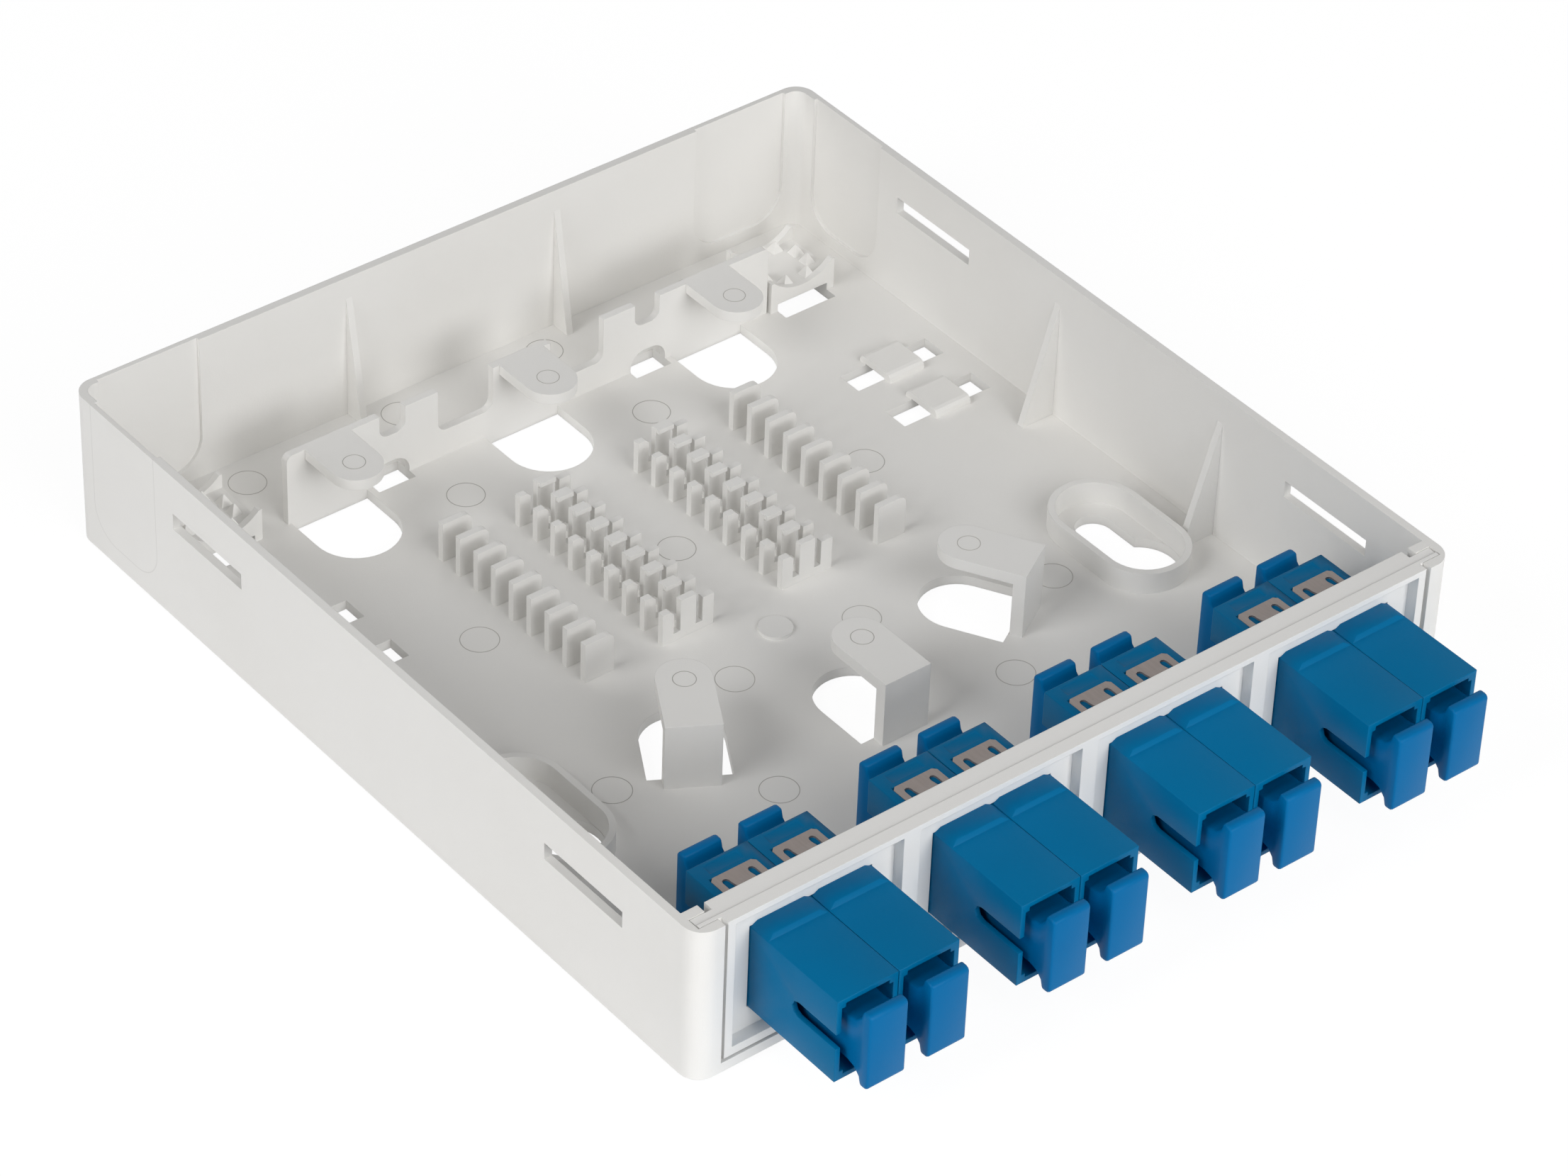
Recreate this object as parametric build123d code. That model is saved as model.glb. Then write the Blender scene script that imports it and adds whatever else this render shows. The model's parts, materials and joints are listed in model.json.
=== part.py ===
from build123d import *
import math
import os

os.makedirs("parts", exist_ok=True)

# Wall mount fibre patch box: open tray, slide-in adapter panel, eight adapters, sixteen dust caps.
# Millimetres. X runs along the panel, the panel faces -Y, Z points away from the wall.
# The origin is the middle of the tray underside.

# Tray shell
TRAY_WIDTH = 124.4
TRAY_DEPTH = 136.0
TRAY_HEIGHT = 24.6
FLOOR_T = 1.5
WALL_T = 1.2
CORNER_R = 3.0
FOOT_C = 0.5
SILL_RISE = 0.5

# Small repeated rounds are drawn with this many sides, or steps in a quarter turn
SMALL_SIDES = 8
QUARTER_STEPS = 3

# Corner posts that guide the panel
POST_LIP_T = 1.4
POST_LIP_REACH = 4.2
POST_GROOVE = 2.1
POST_LUG_T = 1.4
POST_LUG_REACH = 3.7
SLIDE_GAP = 0.08
PANEL_SIDE_GAP = 0.6

# Cover snap slots in the side walls
SNAP_LENGTH = 15.8
SNAP_HEIGHT = 2.6
SNAP_DROP = 6.2
SNAP_FROM_FRONT = 22.6
SNAP_FROM_BACK = 31.9

# Break-out cable entries
KNOCK_WIDTH_SIDE = 14.9
KNOCK_WIDTH_BACK = 16.1
KNOCK_FROM_BACK = 12.25
KNOCK_FROM_SIDE = 11.75
KNOCK_SILL = 2.0
KNOCK_R = 5.0
KNOCK_THIN = 0.5

# Gusset ribs on the walls
BACK_RIB_X = 17.8
BACK_RIB_H = 19.6
BACK_RIB_REACH = 3.3
SIDE_RIB_Y = (9.3, -24.3)
SIDE_RIB_H = 18.7
SIDE_RIB_REACH = 5.5
RIB_T = 1.1

# Rear fence with overhanging tabs
FENCE_FROM_BACK = 16.9
FENCE_T = 1.15
FENCE_H = 11.4
FENCE_LEFT = -39.3
FENCE_RIGHT = 43.5
STEP_NOTCH = (19.7, 24.0)
STEP_NOTCH_DROP = 3.8
DEEP_NOTCH = (4.9, 14.2)
DEEP_NOTCH_DROP = 7.0
NOTCH_R = 1.5
TAB_XS = (-32.5, 0.0, 32.5)
TAB_W = 7.6
TAB_REACH = 10.3
TAB_T = 1.6
TAB_HOLE_W = 12.6
FOOT_HOLE_X = 22.15
FOOT_HOLE_W = 6.1
FOOT_HOLE_FRONT = 1.5
FOOT_HOLE_BACK = 1.65
FOOT_HOLE_C = 0.6
FOOT_ARCH_H = 3.1

# Splice combs
COMB_PITCH = 3.97
COMB_COUNT = 9
COMB_START_Y = 0.3
COMB_BLADE_T = 1.0
SINGLE_X = 24.85
SINGLE_W = 4.8
SINGLE_H = 6.4
SINGLE_TOP_R = 1.2
DOUBLE_X = 10.1
DOUBLE_W = 8.6
DOUBLE_MID_W = 2.6
DOUBLE_SLOT_W = 1.1
DOUBLE_SIDE_H = 5.2
DOUBLE_MID_H = 6.4
DOUBLE_ROOT_H = 1.3
SIDE_FINGER_C = 0.6
NIB_REACH = 0.55
NIB_H = 0.75
NIB_SHIFT = 0.15
SPINE_W = 1.0
COMB_HOLE_R = 0.5
COMB_HOLE_OFFSET = 1.3

# Fibre retaining hooks
HOOK_PLACES = ((-28.7, -24.7, -30.0), (0.0, -32.9, 0.0), (28.7, -24.7, 30.0))
HOOK_W = 7.6
HOOK_H = 10.3
HOOK_POST_T = 1.8
HOOK_TAB_T = 1.75
HOOK_REACH = 13.7
HOOK_HOLE_W = 11.5
HOOK_HOLE_START = 2.0
HOOK_HOLE_END = 16.0

# Raised button in front of the combs
BUTTON_Y = -5.7
BUTTON_R = 2.4
BUTTON_H = 0.5

# Keyhole wall mounts
KEYHOLE_FROM_SIDE = 13.3
KEYHOLE_Y = -24.0
KEYHOLE_HEAD_R = 5.4
KEYHOLE_SLOT_W = 5.6
KEYHOLE_TRAVEL = 9.7
KEYHOLE_RING_GAP = 0.05
KEYHOLE_RING_T = 1.2
KEYHOLE_RING_H = 3.4
KEYHOLE_RING_DRAFT = 4.0

# Cable tie bridges
BRIDGE_FROM_SIDE = 12.0
BRIDGE_YS = (31.0, 20.8)
BRIDGE_W = 6.2
BRIDGE_D = 6.8
BRIDGE_RISE = 1.3
BRIDGE_R = 1.0
TIE_SLOT_LENGTH = 15.5
TIE_SLOT_W = 4.2
TIE_SLOT_H = 1.7

# Toothed cable clamp pads
PAD_FROM_SIDE = 12.6
PAD_FROM_BACK = 12.2
PAD_W = 11.5
PAD_D = 10.5
PAD_RISE = 2.9
PAD_TOP_T = 1.7
PAD_TUNNEL_W = 9.0
PAD_TUNNEL_OUT = 2.0
TOOTH_RING_R = 4.1
TOOTH_BASE = 1.8
TOOTH_H = 1.5
TOOTH_ANGLES = (18, 62, 118, 162, 198, 242, 298, 342)
EAR_T = 1.0
EAR_H = 2.2

# Adapter panel
PANEL_FRONT_GAP = 0.2
PANEL_BODY_D = 4.75
PANEL_BOTTOM_GAP = 0.3
TONGUE_REACH = 3.4
POCKET_COUNT = 4
POCKET_H = 20.1
DIVIDER_W = 2.65
PANEL_END_W = 1.225
POCKET_DEPTH = 1.75
POCKET_SILL = 1.3
PANEL_PLATE_T = 1.6
PANEL_BAND = 1.9
PANEL_STEP = 0.15

# Adapters
ADAPTER_W = 9.4
ADAPTER_H = 13.0
ADAPTER_Z = 13.6
ADAPTER_SEAM = 0.1
ADAPTER_FIT = 0.1
ADAPTER_FRONT_L = 16.85
ADAPTER_REAR_L = 12.65
PORT_W = 7.9
PORT_H = 11.5
PORT_CORNER = 0.6
STOP_L = 3.5
STOP_H = 0.55
STOP_BASE_W = 9.2
STOP_TOP_W = 7.2
STOP_C = 0.45
KEY_SLOT_W = 2.4
KEY_SLOT_L = 8.4
LABEL_W = 5.2
LABEL_L = 1.6
LABEL_T = 0.2
LABEL_FROM_END = 0.6

# Latch insert and alignment sleeve
FLANGE_W = 8.5
FLANGE_H = 12.1
FLANGE_T = 1.2
BARREL_R = 2.2
BARREL_L = 7.5
SLEEVE_R = 1.6
SLEEVE_BORE_R = 1.25
SLEEVE_L = 11.4
SLEEVE_GAP = 0.05
LATCH_W = 5.0
LATCH_T = 0.9
LATCH_INSIDE = 3.9
LATCH_HOOK = 0.25
LATCH_HOOK_L = 1.2

# Spring clips on the rear housings
CLIP_W = 7.0
CLIP_T = 0.3
CLIP_FROM_END = 3.0
CLIP_PANEL_GAP = 0.1
CLIP_RIM = 1.0
CLIP_CORNER = 0.5
CLIP_BEND = 1.9
LEAF_W = 3.0
LEAF_SLOT_W = 1.0
LEAF_RISE = 1.2

# Dust caps
CAP_W = 5.9
CAP_BODY_H = 7.0
CAP_PLATE_H = 11.9
CAP_PLATE_T = 1.5
CAP_NECK = 2.6
CAP_PLUG_L = 10.0
CAP_POCKET_W = 4.7
CAP_POCKET_H = 5.4
CAP_POCKET_END = 1.0
CAP_CHAMFER = 0.4

# Places that follow from the sizes above
HALF_W = TRAY_WIDTH / 2
HALF_D = TRAY_DEPTH / 2
INNER_X = HALF_W - WALL_T
INNER_Y = HALF_D - WALL_T
SILL_Z = FLOOR_T + SILL_RISE
GROOVE_FRONT = -HALF_D + POST_LIP_T
GROOVE_BACK = GROOVE_FRONT + POST_GROOVE
PANEL_FRONT = -HALF_D + PANEL_FRONT_GAP
PANEL_BACK = PANEL_FRONT + PANEL_BODY_D
PANEL_HALF_W = HALF_W - POST_LIP_REACH - PANEL_SIDE_GAP
PANEL_BOTTOM = SILL_Z + PANEL_BOTTOM_GAP
PLATE_FRONT = PANEL_FRONT + POCKET_DEPTH
PLATE_BACK = PLATE_FRONT + PANEL_PLATE_T
POCKET_W = (2 * (PANEL_HALF_W - PANEL_END_W) - (POCKET_COUNT - 1) * DIVIDER_W) / POCKET_COUNT
POCKET_PITCH = POCKET_W + DIVIDER_W
POCKET_Z = PANEL_BOTTOM + POCKET_SILL + POCKET_H / 2
FIRST_POCKET_X = -POCKET_PITCH * (POCKET_COUNT - 1) / 2
POCKET_XS = [FIRST_POCKET_X + POCKET_PITCH * i for i in range(POCKET_COUNT)]
ADAPTER_PITCH = ADAPTER_W + ADAPTER_SEAM
ADAPTER_XS = [x + side * ADAPTER_PITCH / 2 for x in POCKET_XS for side in (-1, 1)]
FRONT_FACE = PLATE_FRONT - ADAPTER_FRONT_L
REAR_FACE = PLATE_FRONT + ADAPTER_REAR_L
FLANGE_Y = PLATE_FRONT - FLANGE_T / 2
TOP = TRAY_HEIGHT + 1.0
FENCE_TOP = FLOOR_T + FENCE_H
FENCE_Y = HALF_D - FENCE_FROM_BACK
SNAP_YS = (SNAP_FROM_FRONT - HALF_D, HALF_D - SNAP_FROM_BACK)
KNOCK_SIDE_Y = HALF_D - KNOCK_FROM_BACK
KNOCK_BACK_X = HALF_W - KNOCK_FROM_SIDE
KEYHOLE_X = HALF_W - KEYHOLE_FROM_SIDE
BRIDGE_X = HALF_W - BRIDGE_FROM_SIDE
PAD_X = HALF_W - PAD_FROM_SIDE
PAD_Y = HALF_D - PAD_FROM_BACK


# A box between two corners.
def block(x0, x1, y0, y1, z0, z1):
    size = Box(abs(x1 - x0), abs(y1 - y0), abs(z1 - z0))
    return Pos((x0 + x1) / 2, (y0 + y1) / 2, (z0 + z1) / 2) * size


# A plan outline pulled up from z0 to z1.
def column(outline, z0, z1):
    return Pos(0, 0, z0) * extrude(outline, z1 - z0)


# An outline in X and Z, pulled from y0 to y1.
def along_y(outline, y0, y1):
    return Pos(0, y1, 0) * Rot(90, 0, 0) * extrude(outline, y1 - y0)


# An outline in Y and Z, pulled from x0 to x1.
def along_x(outline, x0, x1):
    return Pos(x0, 0, 0) * Rot(0, 0, 90) * Rot(90, 0, 0) * extrude(outline, x1 - x0)


# The same shape on the left and on the right of the middle plane.
def both_sides(shape):
    return shape + mirror(shape, about=Plane.YZ)


# A strip that ends in a half circle, from its square end at y0 to its round tip at y1.
def tongue_outline(width, y0, y1):
    straight = y1 - width / 2
    strip = Pos(0, (y0 + straight) / 2) * Rectangle(width, straight - y0)
    return strip + Pos(0, straight) * Circle(width / 2)


# A slot along Y with two round ends.
def slot_outline(width, y0, y1):
    length = y1 - y0
    return Pos(0, (y0 + y1) / 2) * Rot(0, 0, 90) * SlotOverall(length, width)


# A small round, drawn with few sides because it repeats often.
def small_round(radius):
    return RegularPolygon(radius, SMALL_SIDES)


# Points of a quarter round that starts at an angle and turns left or right.
def quarter_points(x, y, radius, start, turn):
    angles = [math.radians(start + turn * 90 * i / QUARTER_STEPS) for i in range(QUARTER_STEPS + 1)]
    return [(x + radius * math.cos(angle), y + radius * math.sin(angle)) for angle in angles]


# Tray shell with its open front between the corner posts.
def tray_shell():
    outer = extrude(RectangleRounded(TRAY_WIDTH, TRAY_DEPTH, CORNER_R), TRAY_HEIGHT)
    outer = chamfer(outer.faces().sort_by(Axis.Z)[0].edges(), FOOT_C)
    hollow = RectangleRounded(TRAY_WIDTH - 2 * WALL_T, TRAY_DEPTH - 2 * WALL_T, CORNER_R - WALL_T)
    shell = outer - column(hollow, FLOOR_T, TOP)
    lip_x = HALF_W - POST_LIP_REACH
    lug_x = HALF_W - POST_LUG_REACH
    lug_back = GROOVE_BACK + POST_LUG_T
    shell -= block(-lip_x, lip_x, -HALF_D - 1, GROOVE_BACK, SILL_Z, TOP)
    lip = block(lip_x, HALF_W, -HALF_D, GROOVE_FRONT, 0, TRAY_HEIGHT)
    lug = block(lug_x, INNER_X + WALL_T / 2, GROOVE_BACK, lug_back, 0, TRAY_HEIGHT)
    foot = block(lug_x, INNER_X + WALL_T / 2, -HALF_D, GROOVE_BACK, 0, SILL_Z)
    posts = both_sides((lip + lug + foot) & outer)
    groove = block(lug_x, INNER_X, GROOVE_FRONT, GROOVE_BACK, SILL_Z, TOP)
    return shell + posts - both_sides(groove)


# U-shaped outline of a break-out entry, open at the rim: width along the first axis.
def entry_outline(width):
    low = FLOOR_T + KNOCK_SILL
    middle = (low + TOP + KNOCK_R) / 2
    return Pos(0, middle) * RectangleRounded(width, TOP + KNOCK_R - low, KNOCK_R)


# Thinned wall of the four break-out entries, two at the sides and two at the back.
def entry_cuts():
    side = along_x(entry_outline(KNOCK_WIDTH_SIDE), INNER_X - 1, INNER_X + KNOCK_THIN)
    back = along_y(entry_outline(KNOCK_WIDTH_BACK), INNER_Y - 1, INNER_Y + KNOCK_THIN)
    return [both_sides(Pos(0, KNOCK_SIDE_Y, 0) * side), both_sides(Pos(KNOCK_BACK_X, 0, 0) * back)]


# Cover snap slots through the side walls.
def snap_cuts():
    top = TRAY_HEIGHT - SNAP_DROP
    cuts = []
    for y in SNAP_YS:
        half = SNAP_LENGTH / 2
        slot = block(INNER_X - 1, HALF_W + 1, y - half, y + half, top - SNAP_HEIGHT, top)
        cuts.append(both_sides(slot))
    return cuts


# Triangular gussets between the floor and the walls.
def wall_ribs():
    start = FLOOR_T / 2
    back = make_face(Polyline(
        (INNER_Y + WALL_T / 2, start),
        (INNER_Y - BACK_RIB_REACH, start),
        (INNER_Y - BACK_RIB_REACH, FLOOR_T),
        (INNER_Y, FLOOR_T + BACK_RIB_H),
        (INNER_Y + WALL_T / 2, FLOOR_T + BACK_RIB_H),
        close=True,
    ))
    side = make_face(Polyline(
        (INNER_X + WALL_T / 2, start),
        (INNER_X - SIDE_RIB_REACH, start),
        (INNER_X - SIDE_RIB_REACH, FLOOR_T),
        (INNER_X, FLOOR_T + SIDE_RIB_H),
        (INNER_X + WALL_T / 2, FLOOR_T + SIDE_RIB_H),
        close=True,
    ))
    ribs = both_sides(along_x(back, BACK_RIB_X - RIB_T / 2, BACK_RIB_X + RIB_T / 2))
    for y in SIDE_RIB_Y:
        ribs += both_sides(along_y(side, y - RIB_T / 2, y + RIB_T / 2))
    return ribs


# Rear fence: crenellated wall with three round tabs that reach over the fibre loop.
def fence():
    middle = (FENCE_LEFT + FENCE_RIGHT) / 2
    wall = Pos(middle, FLOOR_T + FENCE_H / 2) * Rectangle(FENCE_RIGHT - FENCE_LEFT, FENCE_H)
    wall = fillet(wall.vertices().group_by(Axis.Y)[-1], 1.0)
    for side in (-1, 1):
        for span, drop in ((STEP_NOTCH, STEP_NOTCH_DROP), (DEEP_NOTCH, DEEP_NOTCH_DROP)):
            width = span[1] - span[0]
            height = drop + 2 * NOTCH_R
            centre = (side * (span[0] + span[1]) / 2, FENCE_TOP - drop + height / 2)
            wall -= Pos(*centre) * RectangleRounded(width, height, NOTCH_R)
    solid = along_y(wall, FENCE_Y, FENCE_Y + FENCE_T)
    solid += block(FENCE_LEFT, FENCE_RIGHT, FENCE_Y, FENCE_Y + FENCE_T, FLOOR_T / 2, FLOOR_T)
    tab = Rot(0, 0, 180) * tongue_outline(TAB_W, -FENCE_T / 2, TAB_REACH)
    for x in TAB_XS:
        solid += Pos(x, FENCE_Y, 0) * column(tab, FENCE_TOP - TAB_T, FENCE_TOP)
    return solid


# Floor openings under the tabs and at the foot of the fence.
def fence_cuts():
    under = Rot(0, 0, 180) * tongue_outline(TAB_HOLE_W, 0, TAB_HOLE_W)
    cuts = [Pos(x, FENCE_Y, 0) * column(under, -1, FLOOR_T + 0.01) for x in TAB_XS]
    y0 = FENCE_Y - FOOT_HOLE_FRONT
    y1 = FENCE_Y + FENCE_T + FOOT_HOLE_BACK
    hole = Rectangle(FOOT_HOLE_W, y1 - y0)
    hole = Pos(0, (y0 + y1) / 2) * chamfer(hole.vertices(), FOOT_HOLE_C)
    arch = Pos(0, (FLOOR_T + FOOT_ARCH_H) / 2) * Rectangle(FOOT_HOLE_W, FLOOR_T + FOOT_ARCH_H)
    arch = fillet(arch.vertices().group_by(Axis.Y)[-1], FOOT_ARCH_H * 0.8)
    for side in (-1, 1):
        place = Pos(side * FOOT_HOLE_X, 0, 0)
        cuts.append(place * column(hole, -1, FLOOR_T + 0.01))
        cuts.append(place * along_y(arch, y0 + 0.01, y1 - 0.01))
    return cuts


# Single comb row: plain blades with a rounded shoulder.
def single_row(x):
    root = FLOOR_T / 2
    top = FLOOR_T + SINGLE_H
    half = SINGLE_W / 2
    shoulder = quarter_points(half - SINGLE_TOP_R, top - SINGLE_TOP_R, SINGLE_TOP_R, 0, 1)
    blade = make_face(Polyline((-half, root), (half, root), *shoulder, (-half, top), close=True))
    first = along_y(blade, COMB_START_Y, COMB_START_Y + COMB_BLADE_T)
    return [Pos(x, i * COMB_PITCH, 0) * first for i in range(COMB_COUNT)]


# Double comb row: three fingers on a common root, carried by a low spine.
def double_row(x):
    root = FLOOR_T / 2
    side_w = (DOUBLE_W - DOUBLE_MID_W) / 2 - DOUBLE_SLOT_W
    side_x = (DOUBLE_W - side_w) / 2
    side_h = DOUBLE_SIDE_H + FLOOR_T - root
    mid_h = DOUBLE_MID_H + FLOOR_T - root
    base_h = DOUBLE_ROOT_H + FLOOR_T - root
    finger = Pos(-side_x, root + side_h / 2) * Rectangle(side_w, side_h)
    finger = chamfer(finger.vertices().group_by(Axis.Y)[-1].sort_by(Axis.X)[-1], SIDE_FINGER_C)
    blade = finger + Pos(0, root + base_h / 2) * Rectangle(DOUBLE_W, base_h)
    blade += Pos(0, root + mid_h / 2) * Rectangle(DOUBLE_MID_W, mid_h)
    blade += Pos(side_x, root + side_h / 2) * Rectangle(side_w, side_h)
    first = along_y(blade, COMB_START_Y, COMB_START_Y + COMB_BLADE_T)
    end = COMB_START_Y + (COMB_COUNT - 1) * COMB_PITCH + COMB_BLADE_T
    top = FLOOR_T + DOUBLE_MID_H
    left = NIB_SHIFT - DOUBLE_MID_W / 2
    nib_front = COMB_START_Y - NIB_REACH
    nib_back = COMB_START_Y + COMB_BLADE_T / 2
    nib = block(left, left + DOUBLE_MID_W, nib_front, nib_back, top - NIB_H, top)
    blades = [first] + [Pos(0, i * COMB_PITCH, 0) * (first + nib) for i in range(1, COMB_COUNT)]
    spine = block(-SPINE_W / 2, SPINE_W / 2, COMB_START_Y, end, root, FLOOR_T + DOUBLE_ROOT_H)
    return [Pos(x, 0, 0) * piece for piece in blades + [spine]]


# Small through holes beside the spine, one between each two blades.
def comb_holes(x):
    middle = COMB_START_Y + (COMB_BLADE_T + COMB_PITCH) / 2
    hole = column(small_round(COMB_HOLE_R), -1, FLOOR_T + 1)
    return [Pos(x - COMB_HOLE_OFFSET, middle + i * COMB_PITCH, 0) * hole for i in range(COMB_COUNT - 1)]


# Retaining hook: upright post with a round tab over its own floor opening.
def hook():
    top = FLOOR_T + HOOK_H
    post = block(-HOOK_W / 2, HOOK_W / 2, 0, HOOK_POST_T, FLOOR_T / 2, top)
    return post + column(tongue_outline(HOOK_W, 0, HOOK_REACH), top - HOOK_TAB_T, top)


def hook_cut():
    return column(tongue_outline(HOOK_HOLE_W, HOOK_HOLE_START, HOOK_HOLE_END), -1, FLOOR_T + 0.01)


# Keyhole mount: round head that narrows to the screw slot, inside a raised ring with draft.
def keyhole_cut():
    slot = tongue_outline(KEYHOLE_SLOT_W, 0, KEYHOLE_TRAVEL + KEYHOLE_SLOT_W / 2)
    return column(Circle(KEYHOLE_HEAD_R) + slot, -1, FLOOR_T + 1)


def keyhole_ring():
    inner_r = KEYHOLE_HEAD_R + KEYHOLE_RING_GAP
    outer_r = inner_r + KEYHOLE_RING_T
    outer = slot_outline(2 * outer_r, -outer_r, KEYHOLE_TRAVEL + outer_r)
    inner = slot_outline(2 * inner_r, -inner_r, KEYHOLE_TRAVEL + inner_r)
    hollow = Pos(0, 0, FLOOR_T) * extrude(inner, KEYHOLE_RING_H + 1, taper=-KEYHOLE_RING_DRAFT)
    return column(outer, FLOOR_T / 2, FLOOR_T + KEYHOLE_RING_H) - hollow


# Cable tie bridge: low saddle with round shoulders over a slot in the floor.
def bridge():
    root = FLOOR_T / 2
    half = BRIDGE_D / 2
    shoulder = quarter_points(half - BRIDGE_R, FLOOR_T + BRIDGE_RISE - BRIDGE_R, BRIDGE_R, 0, 1)
    other = [(-y, z) for y, z in reversed(shoulder)]
    profile = make_face(Polyline((half, root), *shoulder, *other, (-half, root), close=True))
    return along_x(profile, -BRIDGE_W / 2, BRIDGE_W / 2)


def bridge_cut():
    half = TIE_SLOT_LENGTH / 2
    outside = block(-half, half, -TIE_SLOT_W / 2, TIE_SLOT_W / 2, -1, FLOOR_T + 0.01)
    under = block(-half, half, -TIE_SLOT_W / 2, TIE_SLOT_W / 2, -1, TIE_SLOT_H)
    return outside + under


# Toothed clamp pad: raised table with eight pyramid teeth between two saddle-shaped end walls.
def pad():
    top = FLOOR_T + PAD_RISE
    half_w = PAD_W / 2
    half_d = PAD_D / 2
    table = block(-half_w, half_w, -half_d, half_d, FLOOR_T / 2, top)
    taper = math.degrees(math.atan(TOOTH_BASE * 0.45 / TOOTH_H))
    tooth = Pos(0, 0, top) * extrude(Rectangle(TOOTH_BASE, TOOTH_BASE), TOOTH_H, taper=taper)
    for angle in TOOTH_ANGLES:
        x = TOOTH_RING_R * math.cos(math.radians(angle))
        y = TOOTH_RING_R * math.sin(math.radians(angle))
        table += Pos(x, y, 0) * tooth
    saddle = make_face(
        Line((-half_w, top + EAR_H), (-half_w, top - EAR_T))
        + Line((-half_w, top - EAR_T), (half_w, top - EAR_T))
        + Line((half_w, top - EAR_T), (half_w, top + EAR_H))
        + Line((half_w, top + EAR_H), (half_w - EAR_T / 2, top + EAR_H))
        + ThreePointArc((half_w - EAR_T / 2, top + EAR_H), (0, top), (EAR_T / 2 - half_w, top + EAR_H))
        + Line((EAR_T / 2 - half_w, top + EAR_H), (-half_w, top + EAR_H))
    )
    table += along_y(saddle, half_d - EAR_T, half_d)
    table += along_y(saddle, -half_d, EAR_T - half_d)
    return table


def pad_cut():
    half = PAD_D / 2 + PAD_TUNNEL_OUT
    ceiling = FLOOR_T + PAD_RISE - PAD_TOP_T
    through = block(-PAD_TUNNEL_W / 2, PAD_TUNNEL_W / 2, -half, half, -1, FLOOR_T + 0.01)
    return through + block(-PAD_TUNNEL_W / 2, PAD_TUNNEL_W / 2, -half, half, -1, ceiling)


# The whole moulded tray.
def make_tray():
    tray = tray_shell()
    raised = [wall_ribs(), fence(), keyhole_row(keyhole_ring)]
    for side in (-1, 1):
        raised += single_row(side * SINGLE_X)
        raised += double_row(side * DOUBLE_X)
        raised += [Pos(side * BRIDGE_X, y, 0) * bridge() for y in BRIDGE_YS]
        raised.append(Pos(side * PAD_X, PAD_Y, 0) * pad())
    for x, y, turn in HOOK_PLACES:
        raised.append(Pos(x, y, 0) * Rot(0, 0, turn) * hook())
    raised.append(Pos(0, BUTTON_Y, 0) * column(Circle(BUTTON_R), FLOOR_T / 2, FLOOR_T + BUTTON_H))
    tray = tray.fuse(*[solid for shape in raised for solid in shape.solids()])
    cuts = entry_cuts() + snap_cuts() + fence_cuts() + [keyhole_row(keyhole_cut)]
    for x, y, turn in HOOK_PLACES:
        cuts.append(Pos(x, y, 0) * Rot(0, 0, turn) * hook_cut())
    for side in (-1, 1):
        cuts += comb_holes(side * DOUBLE_X)
        cuts += [Pos(side * BRIDGE_X, y, 0) * bridge_cut() for y in BRIDGE_YS]
        cuts.append(Pos(side * PAD_X, PAD_Y, 0) * pad_cut())
    return tray.cut(*[solid for shape in cuts for solid in shape.solids()])


def keyhole_row(make):
    return both_sides(Pos(KEYHOLE_X, KEYHOLE_Y, 0) * make())


# Adapter panel: plate with four pockets front and back, cut out for adapter pairs.
def make_panel():
    tongue_half = PANEL_HALF_W + TONGUE_REACH
    panel = block(-PANEL_HALF_W, PANEL_HALF_W, PANEL_FRONT, PANEL_BACK, PANEL_BOTTOM, TRAY_HEIGHT)
    tongue_front = GROOVE_FRONT + SLIDE_GAP
    tongue_back = GROOVE_BACK - SLIDE_GAP
    panel += block(-tongue_half, tongue_half, tongue_front, tongue_back, SILL_Z, TRAY_HEIGHT)
    panel -= block(-PANEL_HALF_W, PANEL_HALF_W, tongue_front, tongue_back, SILL_Z - 1, PANEL_BOTTOM)
    band = PANEL_FRONT + PANEL_BAND
    panel -= block(-tongue_half, tongue_half, band, PANEL_BACK + 1, TRAY_HEIGHT - PANEL_STEP, TOP)
    hole_w = 2 * ADAPTER_W + ADAPTER_SEAM + 2 * ADAPTER_FIT
    hole_h = ADAPTER_H + 2 * ADAPTER_FIT
    for x in POCKET_XS:
        left = x - POCKET_W / 2
        right = x + POCKET_W / 2
        low = POCKET_Z - POCKET_H / 2
        high = POCKET_Z + POCKET_H / 2
        panel -= block(left, right, PANEL_FRONT - 1, PLATE_FRONT, low, high)
        panel -= block(left, right, PLATE_BACK, PANEL_BACK + 1, low, high)
        z0 = ADAPTER_Z - hole_h / 2
        z1 = ADAPTER_Z + hole_h / 2
        panel -= block(x - hole_w / 2, x + hole_w / 2, PLATE_FRONT - 1, PLATE_BACK + 1, z0, z1)
    return panel


# Port opening: a rectangle that keeps a small square step in each corner.
def port_outline():
    outline = Pos(0, ADAPTER_Z) * Rectangle(PORT_W, PORT_H)
    for sx in (-1, 1):
        for sz in (-1, 1):
            x = sx * (PORT_W - PORT_CORNER) / 2
            z = ADAPTER_Z + sz * (PORT_H - PORT_CORNER) / 2
            outline -= Pos(x, z) * Rectangle(PORT_CORNER, PORT_CORNER)
    return outline


# Key slot in the left wall of a port, from the port face inward.
def key_slot(face, inward):
    reach = KEY_SLOT_L - KEY_SLOT_W / 2
    deep = face + inward * reach
    y0, y1 = sorted((face - inward, deep))
    z0 = ADAPTER_Z - KEY_SLOT_W / 2
    x0 = -ADAPTER_W / 2 - 1
    x1 = -PORT_W / 2 + 0.01
    round_end = along_x(Pos(deep, ADAPTER_Z) * small_round(KEY_SLOT_W / 2), x0, x1)
    return block(x0, x1, y0, y1, z0, z0 + KEY_SLOT_W) + round_end


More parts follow.
